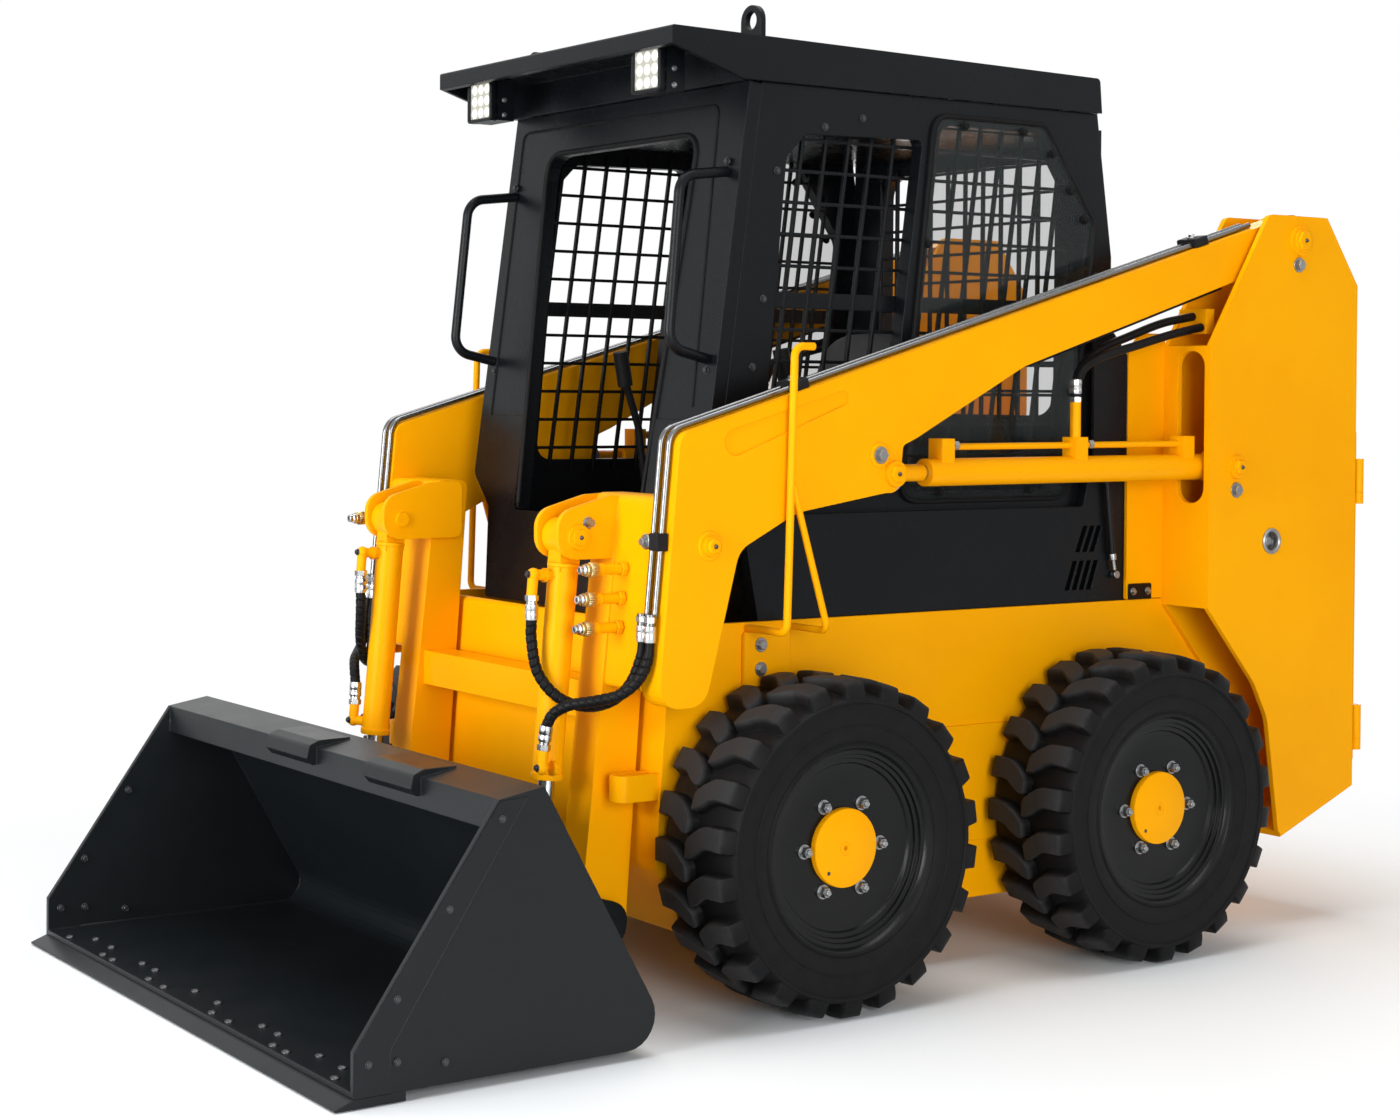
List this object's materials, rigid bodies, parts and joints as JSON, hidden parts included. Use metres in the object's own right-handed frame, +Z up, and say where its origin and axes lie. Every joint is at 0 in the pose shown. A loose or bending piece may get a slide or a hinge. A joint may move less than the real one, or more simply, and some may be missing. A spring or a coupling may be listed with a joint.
{
  "type": "skid steer loader",
  "caption": "Compact wheeled loader with an open-front cab, side lift arms on rear towers, and a front bucket raised and tilted by hydraulic cylinders.",
  "frame": {"origin": "on the ground, under the middle of the overall length and width, bucket flat on the ground", "axes": "+X forward to the bucket's edge, +Y to the machine's left, +Z up"},
  "size_m": [3.171, 1.64, 2.2947],
  "materials": {
    "yellow_paint": "gloss",
    "cab_black": "satin",
    "bucket_grey": "satin",
    "bright_steel": "polished",
    "rubber": "matte",
    "hose_rubber": "satin",
    "tinted_glass": "clear tinted",
    "lamp_glass": "clear",
    "red_lens": "gloss",
    "seat_fabric": "matte",
    "cast": "rough",
    "coupler_metal": "satin",
    "lever_plastic": "matte"
  },
  "bodies": {
    "chassis": {"chassis_tub": "yellow_paint", "axle_housings": "cast", "tower_left": "yellow_paint", "tower_right": "yellow_paint", "engine_block": "cast", "engine_hood": "yellow_paint", "cab_front_frame": "cab_black", "cab_side_left": "cab_black", "cab_side_right": "cab_black", "cab_rear_panel": "cab_black", "cab_roof": "cab_black", "window_grilles": "cab_black", "side_windows": "tinted_glass", "cab_floor": "cab_black", "lower_side_panels": "cab_black", "seat": "seat_fabric", "seat_base": "cab_black", "control_levers": "lever_plastic", "grab_handles": "cab_black", "work_lamps": "cab_black", "lamp_lenses": "lamp_glass", "lifting_eye": "cab_black", "arm_stop_rods": "yellow_paint", "tail_lamps": "red_lens", "lift_hoses_left": "hose_rubber", "lift_hoses_right": "hose_rubber"},
    "rear_door": {"rear_door": "yellow_paint"},
    "lift_arm": {"arm_left": "yellow_paint", "arm_right": "yellow_paint", "arm_cross_frame": "yellow_paint", "arm_tubes": "bright_steel", "aux_couplers": "coupler_metal", "tilt_hoses_left": "hose_rubber", "tilt_hoses_right": "hose_rubber"},
    "bucket": {"bucket_shell": "bucket_grey", "bucket_edge": "bucket_grey", "coupler_frame": "bucket_grey"},
    "wheel_front_left": {"tyre_front_left": "rubber", "rim_front_left": "cab_black"},
    "wheel_front_right": {"tyre_front_right": "rubber", "rim_front_right": "cab_black"},
    "wheel_rear_left": {"tyre_rear_left": "rubber", "rim_rear_left": "cab_black"},
    "wheel_rear_right": {"tyre_rear_right": "rubber", "rim_rear_right": "cab_black"},
    "lift_barrel_left": {"lift_barrel_left": "yellow_paint"},
    "lift_rod_left": {"lift_rod_left": "bright_steel"},
    "tilt_barrel_left": {"tilt_barrel_left": "yellow_paint"},
    "tilt_rod_left": {"tilt_rod_left": "bright_steel"},
    "lift_barrel_right": {"lift_barrel_right": "yellow_paint"},
    "lift_rod_right": {"lift_rod_right": "bright_steel"},
    "tilt_barrel_right": {"tilt_barrel_right": "yellow_paint"},
    "tilt_rod_right": {"tilt_rod_right": "bright_steel"}
  },
  "joints": [
    {"name": "wheel_front_left_spin", "type": "hinge", "parent": "chassis", "child": "wheel_front_left", "pos_m": [0.2885, 0.688, 0.38], "axis": [0, 1, 0], "continuous": true},
    {"name": "wheel_front_right_spin", "type": "hinge", "parent": "chassis", "child": "wheel_front_right", "pos_m": [0.2885, -0.688, 0.38], "axis": [0, 1, 0], "continuous": true},
    {"name": "wheel_rear_left_spin", "type": "hinge", "parent": "chassis", "child": "wheel_rear_left", "pos_m": [-0.7115, 0.688, 0.38], "axis": [0, 1, 0], "continuous": true},
    {"name": "wheel_rear_right_spin", "type": "hinge", "parent": "chassis", "child": "wheel_rear_right", "pos_m": [-0.7115, -0.688, 0.38], "axis": [0, 1, 0], "continuous": true},
    {"name": "lift", "type": "hinge", "parent": "chassis", "child": "lift_arm", "pos_m": [-1.3035, 0, 1.803], "axis": [0, -1, 0], "range_deg": [0, 62]},
    {"name": "bucket_tilt", "type": "hinge", "parent": "lift_arm", "child": "bucket", "pos_m": [0.7235, 0, 0.195], "axis": [0, 1, 0], "range_deg": [-18, 95]},
    {"name": "rear_door_swing", "type": "hinge", "parent": "chassis", "child": "rear_door", "pos_m": [-1.5565, 0.694, 0.86], "axis": [0, 0, -1], "range_deg": [0, 100]},
    {"name": "lift_barrel_left_swing", "type": "hinge", "parent": "chassis", "child": "lift_barrel_left", "pos_m": [-1.0675, 0.636, 1.213], "axis": [0, -1, 0], "range_deg": [0, 60], "deforming": ["lift_hoses_left"]},
    {"name": "lift_rod_left_slide", "type": "slide", "parent": "lift_barrel_left", "child": "lift_rod_left", "axis": [1, 0, -0.0035], "range_m": [0, 0.66]},
    {"name": "tilt_barrel_left_swing", "type": "hinge", "parent": "lift_arm", "child": "tilt_barrel_left", "pos_m": [0.7935, 0.401, 1.069], "axis": [0, 1, 0], "range_deg": [-2, 4], "deforming": ["tilt_hoses_left"]},
    {"name": "tilt_rod_left_slide", "type": "slide", "parent": "tilt_barrel_left", "child": "tilt_rod_left", "axis": [0.084, 0, -0.9965], "range_m": [-0.06, 0.28]},
    {"name": "lift_barrel_right_swing", "type": "hinge", "parent": "chassis", "child": "lift_barrel_right", "pos_m": [-1.0675, -0.636, 1.213], "axis": [0, -1, 0], "range_deg": [0, 60], "deforming": ["lift_hoses_right"]},
    {"name": "lift_rod_right_slide", "type": "slide", "parent": "lift_barrel_right", "child": "lift_rod_right", "axis": [1, 0, -0.0035], "range_m": [0, 0.66]},
    {"name": "tilt_barrel_right_swing", "type": "hinge", "parent": "lift_arm", "child": "tilt_barrel_right", "pos_m": [0.7935, -0.401, 1.069], "axis": [0, 1, 0], "range_deg": [-2, 4], "deforming": ["tilt_hoses_right"]},
    {"name": "tilt_rod_right_slide", "type": "slide", "parent": "tilt_barrel_right", "child": "tilt_rod_right", "axis": [0.084, 0, -0.9965], "range_m": [-0.06, 0.28]}
  ],
  "couplings": [
    {"joint": "lift_barrel_left_swing", "follows": "lift", "ratio": 0.94682},
    {"joint": "lift_rod_left_slide", "follows": "lift", "m_per_rad": 0.60018},
    {"joint": "tilt_barrel_left_swing", "follows": "bucket_tilt", "ratio": 0.024135},
    {"joint": "tilt_rod_left_slide", "follows": "bucket_tilt", "m_per_rad": 0.16218},
    {"joint": "lift_barrel_right_swing", "follows": "lift", "ratio": 0.94682},
    {"joint": "lift_rod_right_slide", "follows": "lift", "m_per_rad": 0.60018},
    {"joint": "tilt_barrel_right_swing", "follows": "bucket_tilt", "ratio": 0.024135},
    {"joint": "tilt_rod_right_slide", "follows": "bucket_tilt", "m_per_rad": 0.16218}
  ]
}
